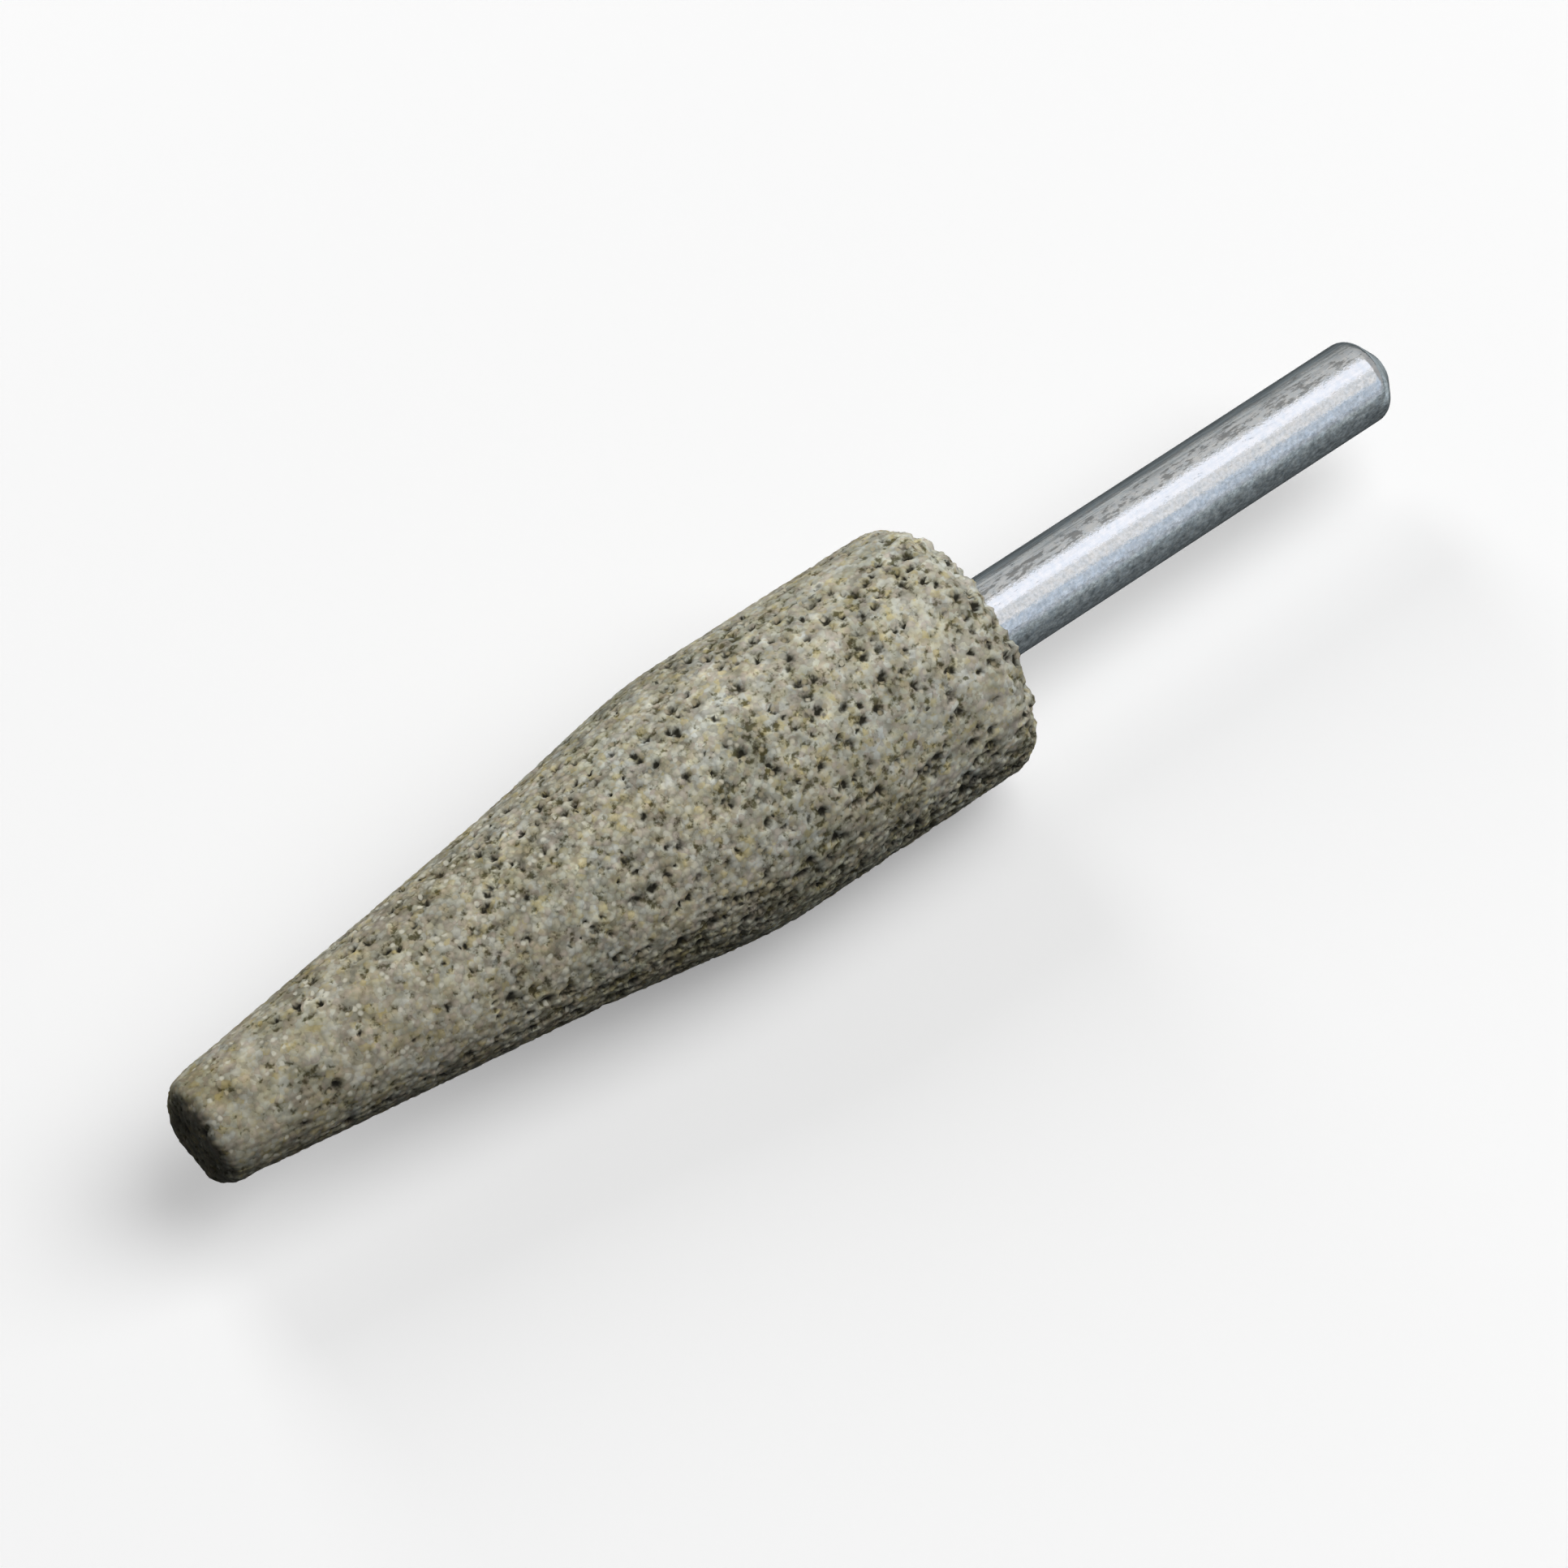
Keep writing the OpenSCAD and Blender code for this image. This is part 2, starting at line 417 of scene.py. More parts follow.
def new_material(name):
    """Empty material with its Principled shader."""
    material = bpy.data.materials.new(name)
    material.use_nodes = True
    shader = material.node_tree.nodes["Principled BSDF"]
    return material, material.node_tree, shader


pale_grain = (0.55, 0.555, 0.51)
sand_grain = (0.525, 0.505, 0.41)
straw_grain = (0.54, 0.485, 0.315)
rose_grain = (0.48, 0.43, 0.375)
grey_grain = (0.40, 0.39, 0.335)
# Painted shade for the gaps between grains and for the pores
gap_painted_shade = (0.25, 0.24, 0.175)
pore_painted_shade = (0.024, 0.022, 0.0145)
# Painted highlight for the glints
painted_glint = (0.76, 0.74, 0.62)
amber = (0.49, 0.43, 0.29)
# Colour of the dirt, which also paints shade at the darkened spots
dirt_and_painted_shade = (0.70, 0.69, 0.625)
# Painted shade for the nose end
nose_painted_shade = (0.93, 0.92, 0.885)
# Painted light for the lower side
low_side_painted_light = (1.14, 1.14, 1.12)
taper_warmth = (1.045, 1.015, 0.96)

# Sizes of the patterns in the grit's colour, and how far its cells bend, in millimetres
bend_size = 0.34
bend_reach = 0.4
soft_size = 0.9
tint_size = 1.3
fine_size = 0.58
hue_size = 5.0
patch_size = 1.6
spark_size = 0.43

# Runs along X, in millimetres, over which the colour changes, with the shares or gains at their two ends
edge_run = (-46.0, -24.0)
edge_run_share = (0.35, 0.9)
barrel_edge_run = (-3.0, -14.0)
barrel_edge_share = (0.35, 1.0)
pale_run = (-32.0, 10.0)
pale_gain = (0.93, 1.12)
low_run = (-38.0, -24.0)
nose_run = (-45.0, nose_end)
dirt_nose_run = (-24.0, nose_end)
dirt_nose_gain = (0.0, 0.11)
dirt_and_shade_run = (4.0, -24.0)
dirt_and_shade_run_share = (0.7, 1.0)
warm_run = (4.0, -30.0)
painted_glint_run = (4.0, -20.0)
painted_glint_run_share = (0.4, 0.75)

# Levels at which dirt and painted shade begin and are full, and the draws above which a grain is amber or has
# a painted glint
dirt_and_shade_range = (0.45, 0.72)
spark_edge = (0.62, 0.25)
amber_draw = 0.8
amber_share = 0.75
painted_glint_draw = 0.87

# Fine relief of the grit: its height, its strength, and what grains, gaps and the lower side add to it
grit_relief = 0.10 * MM
grit_strength = 0.36
grain_relief = 0.5
gap_relief = 0.8
low_relief = 1.2
least_relief = 0.45

stone_material, nodes, shader = new_material("vitrified_grit")
place = add(nodes, "ShaderNodeAttribute", attribute_name="rest_mm").outputs["Vector"]
bend = calc_vector(nodes, "SUBTRACT", noise(nodes, place, bend_size).outputs["Color"], half)
bent = calc_vector(nodes, "ADD", place, calc_vector(nodes, "SCALE", bend, bend_reach))
grain = cells(nodes, bent, grain_size)
draw = add(nodes, "ShaderNodeSeparateXYZ", {0: grain.outputs["Color"]}).outputs
soft = noise(nodes, place, soft_size, detail=3.0, roughness=0.55).outputs["Fac"]
pick = calc(nodes, "DIVIDE", calc(nodes, "ADD", draw["X"], soft), 2.0)
grit_colour = colour_ramp(nodes, pick, [
    (0.28, grey_grain), (0.38, rose_grain), (0.47, sand_grain), (0.56, pale_grain), (0.64, pale_grain),
    (0.75, straw_grain)])
tint = noise(nodes, place, tint_size).outputs["Fac"]
tint_shade = colour_ramp(nodes, tint, [
    (0.32, (0.99, 1.0, 1.04)), (0.5, (1.0, 1.0, 0.98)), (0.68, (1.02, 0.99, 0.85))])
colour = mix_colour(nodes, "MULTIPLY", 1.0, grit_colour, tint_shade)
fine = noise(nodes, place, fine_size).outputs["Fac"]
fine_shade = colour_ramp(nodes, fine, [
    (0.3, (0.775, 0.77, 0.75)), (0.5, (1.035, 1.04, 1.03)), (0.7, (1.12, 1.13, 1.115))])
colour = mix_colour(nodes, "MULTIPLY", 1.0, colour, fine_shade)

# Shade is painted into the grains' edges and their middles are painted lighter, most of all on the taper and
# on the lower side.
grain_painted_light_and_shade = colour_ramp(nodes, grain.outputs["Distance"], [
    (0.2, (1.16, 1.18, 1.205)), (0.45, (1.085, 1.10, 1.12)), (0.7, (0.76, 0.765, 0.755))])
along = add(nodes, "ShaderNodeSeparateXYZ", {0: place}).outputs["X"]
low_side = lowness(nodes, place)
edge_share = ease(nodes, along, *edge_run, *edge_run_share)
barrel_share = ease(nodes, along, *barrel_edge_run, *barrel_edge_share)
edge_share = calc(nodes, "MULTIPLY", edge_share, calc(nodes, "MAXIMUM", barrel_share, low_side))
colour = mix_colour(nodes, "MULTIPLY", edge_share, colour, grain_painted_light_and_shade)
# On the lower side more light is painted onto the grains' middles and more shade into their edges.
low_grain_painted_light_and_shade = colour_ramp(nodes, grain.outputs["Distance"], [
    (0.15, (1.25, 1.24, 1.18)), (0.4, (1.0, 1.0, 1.0)), (0.7, (0.68, 0.67, 0.66))])
colour = mix_colour(nodes, "MULTIPLY", low_side, colour, low_grain_painted_light_and_shade)

# Broad patches differ in hue and in tone, and the barrel is paler than the taper.
hue = noise(nodes, place, hue_size).outputs["Fac"]
hue_shade = colour_ramp(nodes, hue, [(0.35, (1.02, 0.995, 0.97)), (0.65, (0.985, 1.0, 1.025))])
colour = mix_colour(nodes, "MULTIPLY", 1.0, colour, hue_shade)
patch = noise(nodes, place, patch_size).outputs["Fac"]
patch_shade = colour_ramp(nodes, patch, [(0.3, (0.71, 0.71, 0.68)), (0.7, (1.27, 1.265, 1.25))])
colour = mix_colour(nodes, "MULTIPLY", 1.0, colour, patch_shade)
colour = calc_vector(nodes, "SCALE", colour, remap(nodes, along, *pale_run, *pale_gain))
# Light is painted onto the lower side, from the taper back.
low_side = calc(nodes, "MULTIPLY", low_side, ease(nodes, along, *low_run))
colour = mix_colour(nodes, "MULTIPLY", low_side, colour, low_side_painted_light)
# Shade is painted onto the nose end.
nose_painted_shade_mask = ease(nodes, along, *nose_run)
colour = mix_colour(nodes, "MULTIPLY", nose_painted_shade_mask, colour, nose_painted_shade)

# Dirt gathers where the pores lie thick and towards the nose; the same colour paints shade at the darkened
# spots.
crowd = crowding(nodes, place)
dirt_and_shade_level = calc(nodes, "ADD", crowd, ease(nodes, along, *dirt_nose_run, *dirt_nose_gain))
dirt_and_shade_level = spotted(nodes, place, dirt_and_shade_level, darkened_spots)
dirt_and_shade_mask = ease(nodes, dirt_and_shade_level, *dirt_and_shade_range)
dirt_and_shade_mask = calc(nodes, "MULTIPLY", dirt_and_shade_mask, ease(nodes, along, *dirt_and_shade_run, *dirt_and_shade_run_share))
colour = mix_colour(nodes, "MULTIPLY", dirt_and_shade_mask, colour, dirt_and_painted_shade)
warmth = ease(nodes, along, *warm_run)
colour = mix_colour(nodes, "MULTIPLY", warmth, colour, taper_warmth)

# Shade is painted into the gaps and pores; a few grains are amber, and a few carry painted glints.
gap_mask = gaps(nodes, place, crowd)
colour = mix_colour(nodes, "MULTIPLY", gap_mask, colour, gap_painted_shade)
pore_mask = pores(nodes, place, crowd)
colour = mix_colour(nodes, "MIX", pore_mask, colour, pore_painted_shade)
spark = cells(nodes, place, spark_size)
chance = add(nodes, "ShaderNodeSeparateXYZ", {0: spark.outputs["Color"]}).outputs
spot = ease(nodes, spark.outputs["Distance"], *spark_edge)
warm = calc(nodes, "MULTIPLY", calc(nodes, "GREATER_THAN", chance["Z"], amber_draw), spot)
colour = mix_colour(nodes, "MIX", calc(nodes, "MULTIPLY", warm, amber_share), colour, amber)
# Painted highlights: a few grains are painted bright, more weakly on the barrel.
painted_glint_mask = calc(nodes, "MULTIPLY", calc(nodes, "GREATER_THAN", chance["Y"], painted_glint_draw), spot)
painted_glint_mask = calc(nodes, "MULTIPLY", painted_glint_mask, ease(nodes, along, *painted_glint_run, *painted_glint_run_share))
colour = mix_colour(nodes, "MIX", painted_glint_mask, colour, painted_glint)
nodes.links.new(colour, shader.inputs["Base Color"])
shader.inputs["Roughness"].default_value = 0.9
shader.inputs["Specular IOR Level"].default_value = 0.12

# Fine relief between the grains, stronger on the lower side
relief = calc(nodes, "SUBTRACT", fine, calc(nodes, "MULTIPLY", grain.outputs["Distance"], grain_relief))
relief = calc(nodes, "SUBTRACT", relief, calc(nodes, "MULTIPLY", gap_mask, gap_relief))
edge_relief = calc(nodes, "MAXIMUM", edge_share, least_relief)
relief_share = calc(nodes, "MULTIPLY_ADD", low_side, low_relief, edge_relief)
relief = calc(nodes, "MULTIPLY", relief, relief_share)
bump = add(nodes, "ShaderNodeBump", {"Height": relief, "Strength": grit_strength, "Distance": grit_relief})
nodes.links.new(bump.outputs[0], shader.inputs["Normal"])

# The outline goes into the tree with each corner's edge radius, and comes out as a plain mesh.
outline_mesh = bpy.data.meshes.new("stone")
outline_mesh.from_pydata(
    [(x, 0.0, r) for x, r, edge in stone_outline],
    [(i, i + 1) for i in range(len(stone_outline) - 1)], [])
edge_radius = outline_mesh.attributes.new("edge_radius", "FLOAT", "POINT")
for item, (x, r, edge) in zip(edge_radius.data, stone_outline):
    item.value = edge
stone = bpy.data.objects.new("stone", outline_mesh)
bpy.context.scene.collection.objects.link(stone)
stone_tree = make_stone_tree()
turning = stone.modifiers.new("turning", "NODES")
turning.node_group = stone_tree
for item in stone_tree.interface.items_tree:
    if item.name == "Material":
        turning[item.identifier] = stone_material
evaluated = stone.evaluated_get(bpy.context.evaluated_depsgraph_get())
stone_mesh = bpy.data.meshes.new_from_object(evaluated)
stone.modifiers.remove(turning)
stone.data = stone_mesh
stone_mesh.name = "stone"
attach(stone, "root")
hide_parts("abrasive_stone")

# The mandrel is a bar of drawn steel, turned to a bevelled end. Its root is cemented into the stone, and its
# plain shank is bright, with dark dashes along the top, a frosted near side and a cloudy underside.
steel_cool = (0.59, 0.615, 0.64)
steel_warm = (0.69, 0.68, 0.67)
steel_stain = (0.13, 0.13, 0.125)
plain = (1.0, 1.0, 1.0)

# How far the marks are drawn out along the bar: the smaller the share, the longer the mark
drawn_share = 0.5
dash_share = 0.3
streak_share = 0.05
cloud_share = 0.7

# Sizes of the marks across the bar, in millimetres
mottle_size = 0.3
streak_size = 0.22
dash_size = 0.3
grain_mark_size = 0.18
cloud_size = 0.36
spangle_size = 0.45
stretch_size = 1.3
frost_size = 0.24

# Relief and roughness of the steel
steel_relief = 0.022 * MM
steel_strength = 0.55
mottle_relief = 0.6
mottle_range = (0.3, 0.7)
steel_roughness = (0.04, 0.11)

# Band of stains along the top: its near and far edges across Y, in millimetres, and how strong it is
stain_near_edge = (-0.4, -0.05)
stain_far_edge = (1.7, 0.5)
stain_gain = 0.2
stain_range = (0.61, 0.75)
stain_strength = 0.66
stretch_range = (0.36, 0.6)
stretch_share = (0.4, 1.0)

# Where the other marks begin and are full, across Y and above the spin axis, in millimetres
far_top_run = (0.5, 1.3)
far_top_rise = (0.0, 0.6)
cloud_rise = (3.1, 0.6)
frost_run = (-1.2, -1.6)

steel_material, nodes, shader = new_material("drawn_steel")
metres = add(nodes, "ShaderNodeTexCoord").outputs["Object"]
place = calc_vector(nodes, "SCALE", metres, 1 / MM)
across = add(nodes, "ShaderNodeSeparateXYZ", {0: place}).outputs
drawn = calc_vector(nodes, "MULTIPLY", place, (drawn_share, 1.0, 1.0))
drawn_far = calc_vector(nodes, "MULTIPLY", place, (streak_share, 1.0, 1.0))
dashed = calc_vector(nodes, "MULTIPLY", place, (dash_share, 1.0, 1.0))
clouded = calc_vector(nodes, "MULTIPLY", place, (cloud_share, 1.0, 1.0))
mottle = noise(nodes, place, mottle_size, detail=3.0, roughness=0.6).outputs["Fac"]
streak = noise(nodes, drawn_far, streak_size, detail=3.0, roughness=0.6).outputs["Fac"]
dashes = noise(nodes, dashed, dash_size, detail=4.0, roughness=0.72).outputs["Fac"]
grain = noise(nodes, place, grain_mark_size, detail=2.0, roughness=0.6).outputs["Fac"]
clouds = noise(nodes, clouded, cloud_size, detail=4.0, roughness=0.65).outputs["Fac"]
spangle = noise(nodes, place, spangle_size, detail=3.0, roughness=0.65).outputs["Fac"]
stretch = noise(nodes, drawn, stretch_size).outputs["Fac"]
frost = noise(nodes, place, frost_size, detail=3.0, roughness=0.65).outputs["Fac"]
height = calc(nodes, "SUBTRACT", across["Z"], axis_z / MM)

# The stains keep to a band along the top, in longer and shorter stretches.
ridge = ease(nodes, across["Y"], *stain_near_edge)
ridge = calc(nodes, "MULTIPLY", ridge, ease(nodes, across["Y"], *stain_far_edge))
ridge = calc(nodes, "MULTIPLY", ridge, calc(nodes, "GREATER_THAN", height, 0.0))
ridge = calc(nodes, "MULTIPLY", ridge, ease(nodes, stretch, *stretch_range, *stretch_share))
ridge_level = calc(nodes, "ADD", dashes, calc(nodes, "MULTIPLY", ridge, stain_gain))
stain = ease(nodes, ridge_level, *stain_range)

# Drawing marks run along the bar, strongest on the far side of the top.
colour = colour_ramp(nodes, spangle, [(0.35, steel_cool), (0.65, steel_warm)])
streak_shade = colour_ramp(nodes, streak, [(0.3, (0.94, 0.945, 0.95)), (0.6, (1.02, 1.02, 1.02))])
colour = mix_colour(nodes, "MULTIPLY", 1.0, colour, streak_shade)
far_top = ease(nodes, across["Y"], *far_top_run)
far_top = calc(nodes, "MULTIPLY", far_top, ease(nodes, height, *far_top_rise))
far_shade = colour_ramp(nodes, streak, [(0.36, (0.66, 0.67, 0.67)), (0.5, plain), (0.62, (1.2, 1.2, 1.19))])
colour = mix_colour(nodes, "MULTIPLY", far_top, colour, far_shade)

# Clouds lie on the lower side, frost on the near side, and the stains over both.
low_side = ease(nodes, height, *cloud_rise)
cloud_shade = colour_ramp(nodes, clouds, [
    (0.33, (0.50, 0.51, 0.52)), (0.5, (0.98, 0.98, 0.98)), (0.67, (1.5, 1.49, 1.48))])
colour = mix_colour(nodes, "MULTIPLY", low_side, colour, cloud_shade)
frost_shade = colour_ramp(nodes, frost, [
    (0.36, (0.85, 0.85, 0.84)), (0.5, plain), (0.64, (1.10, 1.10, 1.11))])
near_side = ease(nodes, across["Y"], *frost_run)
colour = mix_colour(nodes, "MULTIPLY", near_side, colour, frost_shade)
colour = mix_colour(nodes, "MIX", calc(nodes, "MULTIPLY", stain, stain_strength), colour, steel_stain)
nodes.links.new(colour, shader.inputs["Base Color"])
shader.inputs["Metallic"].default_value = 1.0
rough = remap(nodes, mottle, *mottle_range, *steel_roughness)
nodes.links.new(rough, shader.inputs["Roughness"])
relief = calc(nodes, "ADD", grain, calc(nodes, "MULTIPLY", mottle, mottle_relief))
bump = add(nodes, "ShaderNodeBump", {"Height": relief, "Strength": steel_strength, "Distance": steel_relief})
nodes.links.new(bump.outputs[0], shader.inputs["Normal"])
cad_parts["mandrel"].material_slots[0].material = steel_material

# The cement is a gritty grey paste that is poured round the mandrel's root and sets hard in the stone's hole.
# It shows only as a thin ring on the back face.
cement_base = (0.16, 0.145, 0.115)
cement_light = (0.27, 0.25, 0.205)
cement_grit = 0.2
cement_relief = 0.05 * MM
cement_strength = 0.6
cement_material, nodes, shader = new_material("set_cement")
metres = add(nodes, "ShaderNodeTexCoord").outputs["Object"]
place = calc_vector(nodes, "SCALE", metres, 1 / MM)
grit = noise(nodes, place, cement_grit, detail=3.0).outputs["Fac"]
colour = colour_ramp(nodes, grit, [(0.35, cement_base), (0.65, cement_light)])
nodes.links.new(colour, shader.inputs["Base Color"])
shader.inputs["Roughness"].default_value = 0.85
bump = add(nodes, "ShaderNodeBump", {"Height": grit, "Strength": cement_strength, "Distance": cement_relief})
nodes.links.new(bump.outputs[0], shader.inputs["Normal"])
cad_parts["bonding_cement"].material_slots[0].material = cement_material

# The floor is a plain pale sheet that takes the object's shadow. It glows more where the lamps reach it less,
# and it gives little light back, so that the stone's nose and underside stay in shade.
floor_pale = 0.80
floor_glow = 0.265
floor_far_glow = 0.93
lamps_reach = 0.7
lamps_foot = (0.08, 0.03, 0.0)
floor_bounce = 0.033
sheet_half = 3.0


def sheet(name, corners, material):
    """Flat sheet with four corners, in one material."""
    mesh = bpy.data.meshes.new(name)
    mesh.from_pydata(corners, [], [(0, 1, 2, 3)])
    mesh.materials.append(material)
    flat = bpy.data.objects.new(name, mesh)
    bpy.context.scene.collection.objects.link(flat)
    return flat


def square(half_wide, half_high, height):
    """Corners of a level rectangle about the Z axis."""
    return [Vector((x * half_wide, y * half_high, height)) for x, y in ((-1, -1), (1, -1), (1, 1), (-1, 1))]


def bare_material(name):
    """Material with no nodes yet, and its tree."""
    material = bpy.data.materials.new(name)
    material.use_nodes = True
    material.node_tree.nodes.clear()
    return material, material.node_tree


def seen_rays(tree):
    """Mask of the rays that show a surface, straight, in a reflection or through glass."""
    ray = add(tree, "ShaderNodeLightPath").outputs
    seen = calc(tree, "MAXIMUM", ray["Is Glossy Ray"], ray["Is Transmission Ray"])
    return calc(tree, "MAXIMUM", ray["Is Camera Ray"], seen)


floor_material, nodes = bare_material("pale_floor")
pale = add(nodes, "ShaderNodeBsdfDiffuse", {"Color": (floor_pale, floor_pale, floor_pale, 1)})
spot = calc_vector(nodes, "SUBTRACT", add(nodes, "ShaderNodeTexCoord").outputs["Object"], lamps_foot)
spread = calc_vector(nodes, "DOT_PRODUCT", spot, spot)
fall = calc(nodes, "ADD", calc(nodes, "MULTIPLY", spread, 1 / lamps_reach ** 2), 1.0)
lamp_share = calc(nodes, "POWER", fall, -2.0)
far_glow = calc(nodes, "MULTIPLY_ADD", lamp_share, floor_glow - floor_far_glow, floor_far_glow)
glow = add(nodes, "ShaderNodeEmission", {"Color": (1, 1, 1, 1), "Strength": far_glow})
lit = add(nodes, "ShaderNodeAddShader", {0: pale.outputs[0], 1: glow.outputs[0]})
dim = add(nodes, "ShaderNodeBsdfDiffuse", {"Color": (floor_bounce, floor_bounce, floor_bounce, 1)})
either = add(nodes, "ShaderNodeMixShader", {0: seen_rays(nodes), 1: dim.outputs[0], 2: lit.outputs[0]})
add(nodes, "ShaderNodeOutputMaterial", {"Surface": either.outputs[0]})
floor = sheet("floor", square(sheet_half, sheet_half, 0.0), floor_material)

# The world is the studio's white backdrop. It is white to the camera and in reflections, and gives the object
# only a little even light.
world_light = 0.023
world = bpy.data.worlds.new("studio")
bpy.context.scene.world = world
world.use_nodes = True
nodes = world.node_tree
nodes.nodes.clear()
even = add(nodes, "ShaderNodeBackground", {"Color": (1, 1, 1, 1), "Strength": world_light})
white = add(nodes, "ShaderNodeBackground", {"Color": (1, 1, 1, 1), "Strength": 1.0})
either = add(nodes, "ShaderNodeMixShader", {0: seen_rays(nodes), 1: even.outputs[0], 2: white.outputs[0]})
add(nodes, "ShaderNodeOutputWorld", {"Surface": either.outputs[0]})


# The key light is a large softbox overhead, towards the shank. A smaller one fills the far side.
# The steel does not reflect these two.
def facing(centre, aim):
    """Placement at a centre that turns a lamp or a card towards a point."""
    away = Vector(centre) - Vector(aim)
    return Matrix.Translation(centre) @ away.to_track_quat("Z", "Y").to_matrix().to_4x4()


def softbox(name, centre, aim, size, radiance):
    """Rectangular lamp that faces a point, with an even radiance over its area."""
    data = bpy.data.lights.new(name, "AREA")
    data.shape = "RECTANGLE"
    data.size, data.size_y = size
    data.energy = radiance * math.pi * size[0] * size[1]
    lamp = bpy.data.objects.new(name, data)
    lamp.matrix_world = facing(centre, aim)
    lamp.visible_glossy = False
    lamp.visible_camera = False
    bpy.context.scene.collection.objects.link(lamp)


lamps_aim = (0.0, 0.0, axis_z)
softbox("key", centre=(0.25, -0.15, 0.545), aim=lamps_aim, size=(0.5, 0.6), radiance=3.4)
softbox("fill", centre=(0.03, 0.45, 0.31), aim=lamps_aim, size=(0.18, 0.4), radiance=5.0)


# Cards that only the steel reflects stand round the spin axis like a light tent, with a wall at each end.
# They give the shank its highlight and its bands, and neither light nor shade anything else.
def reflected_only(obj):
    """Keeps a card out of all but reflections."""
    obj.visible_camera = False
    obj.visible_diffuse = False
    obj.visible_shadow = False
    obj.visible_transmission = False


def card(name, centre, aim, size, radiance, tint):
    """Rectangular card that faces a point and glows evenly."""
    stand = facing(centre, aim)
    corners = [stand @ corner for corner in square(size[0] / 2, size[1] / 2, 0.0)]
    material, tree = bare_material(name)
    glow = add(tree, "ShaderNodeEmission", {"Color": (*tint, 1.0), "Strength": radiance})
    add(tree, "ShaderNodeOutputMaterial", {"Surface": glow.outputs[0]})
    reflected_only(sheet(name, corners, material))


tent_radius = 0.5
tent_centre_x = -0.25
tent_length = 1.9

# Each card's edges, as angles from straight up that are positive on the far side, its glow and its tint
tent_cards = [
    ("far_edge", 80, 92, 0.30, (0.98, 1.02, 1.02)),
    ("far_foot", 64, 80, 0.53, (0.98, 1.02, 1.02)),
    ("far_wall", 46, 64, 0.63, (1.0, 1.02, 1.02)),
    ("far_roof", 15, 46, 0.75, (1.0, 1.01, 1.0)),
    ("crown", -20, 15, 1.37, (0.97, 0.99, 1.06)),
    ("near_roof", -52, -20, 1.01, (1.0, 1.01, 1.03)),
    ("near_wall", -80, -52, 0.79, (0.9, 1.01, 1.15)),
    ("near_foot", -92, -80, 0.58, (0.92, 1.0, 1.1)),
]
for name, low, high, radiance, tint in tent_cards:
    middle = math.radians(low + high) / 2
    across = 2 * tent_radius * math.tan(math.radians(high - low) / 2)
    foot = Vector((tent_centre_x, 0.0, axis_z))
    centre = foot + tent_radius * Vector((0.0, math.sin(middle), math.cos(middle)))
    card(name, centre, foot, (tent_length, across), radiance, tint)

end_wall_height = 0.3
end_wall_size = (1.2, 0.7)
end_wall_glow = 0.53
for name, side in (("shank_wall", 1), ("nose_wall", -1)):
    end_wall = (tent_centre_x + side * tent_length / 2, 0.0, end_wall_height)
    card(name, end_wall, (0.0, 0.0, end_wall_height), end_wall_size, end_wall_glow, plain)

# A dark card lies just over the floor, and only the steel reflects it. It keeps the shank's underside in
# shade, and grows lighter away from the shank and past the shank's end.
flag_height = 0.0003
flag_tint = (0.88, 1.0, 1.05, 1)
flag_dark = 0.022
flag_gain = 1.45
flag_far_share = 0.56
flag_far_most = 0.23
flag_near_more = 0.3
flag_end_glow = 0.42

# Where the card grows lighter, in metres: towards the near side, and past the shank's end between two edges
flag_near_run = (0.004, 0.0)
flag_end_run = (0.056, 0.07)
flag_end_far_edge = (0.022, 0.012)
flag_end_near_edge = (-0.03, -0.018)

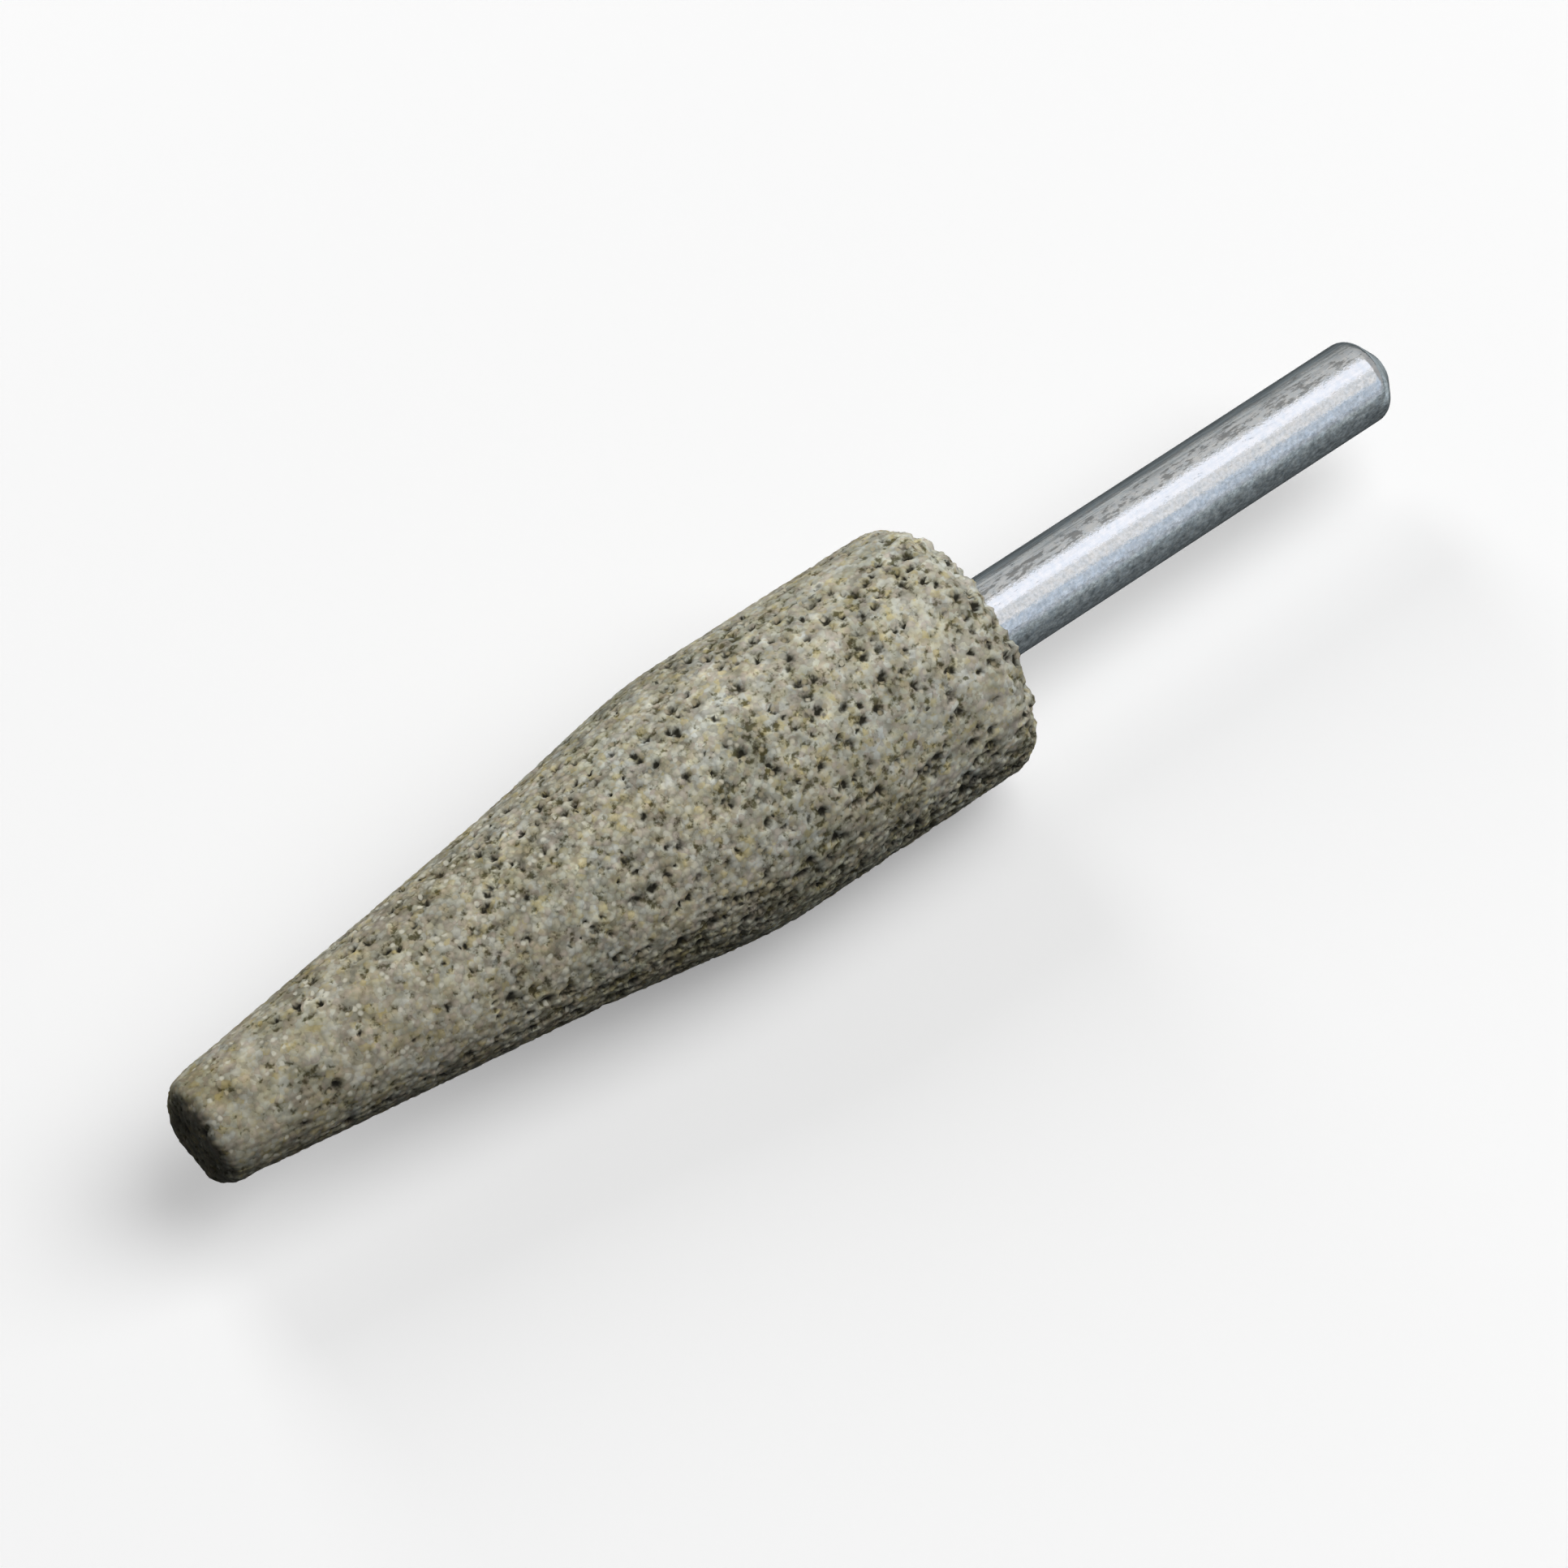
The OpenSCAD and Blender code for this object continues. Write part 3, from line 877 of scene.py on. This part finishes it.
flag_material, nodes = bare_material("dark_card")
spot = add(nodes, "ShaderNodeSeparateXYZ", {0: add(nodes, "ShaderNodeTexCoord").outputs["Object"]}).outputs
away = calc(nodes, "MULTIPLY", calc(nodes, "SQRT", calc(nodes, "ABSOLUTE", spot["Y"])), flag_gain)
near_side = ease(nodes, spot["Y"], *flag_near_run)
near_share = calc(nodes, "MULTIPLY_ADD", near_side, 1.0 - flag_far_share, flag_far_share)
away = calc(nodes, "MULTIPLY", away, near_share)
away = calc(nodes, "MINIMUM", away, calc(nodes, "MULTIPLY_ADD", near_side, flag_near_more, flag_far_most))
past_end = ease(nodes, spot["X"], *flag_end_run, 0.0, flag_end_glow)
past_end = calc(nodes, "MULTIPLY", past_end, ease(nodes, spot["Y"], *flag_end_far_edge))
past_end = calc(nodes, "MULTIPLY", past_end, ease(nodes, spot["Y"], *flag_end_near_edge))
level = calc(nodes, "ADD", calc(nodes, "ADD", away, past_end), flag_dark)
glow = add(nodes, "ShaderNodeEmission", {"Color": flag_tint, "Strength": level})
add(nodes, "ShaderNodeOutputMaterial", {"Surface": glow.outputs[0]})
reflected_only(sheet("flag", square(sheet_half, sheet_half, flag_height), flag_material))

# The camera looks down on the point from its near side, through a long lens, as the photograph does.
# Its place is found from where the centre of the stone's back face is seen: right, up and ahead of the lens.
picture_px = 1932
near_clip = 0.01
sensor_mm = 36.0
focal_px = 9789.0
azimuth = math.radians(-38.30)
elevation = math.radians(55.65)
back_centre_seen = Vector((0.012368, 0.010094, 0.552902))
right = Vector((math.cos(azimuth), math.sin(azimuth), 0.0))
forward = Vector((
    -math.sin(azimuth) * math.cos(elevation), math.cos(azimuth) * math.cos(elevation), -math.sin(elevation)))
up = right.cross(forward)
back_centre = Vector((back_x, 0.0, axis_z))
stand = back_centre - right * back_centre_seen.x - up * back_centre_seen.y - forward * back_centre_seen.z
camera_data = bpy.data.cameras.new("camera")
camera_data.sensor_width = sensor_mm
camera_data.lens = focal_px * sensor_mm / picture_px
camera_data.clip_start = near_clip
camera = bpy.data.objects.new("camera", camera_data)
camera.matrix_world = Matrix.Translation(stand) @ Matrix((right, up, -forward)).transposed().to_4x4()
bpy.context.scene.collection.objects.link(camera)
bpy.context.scene.camera = camera
bpy.context.scene.view_settings.view_transform = "Standard"
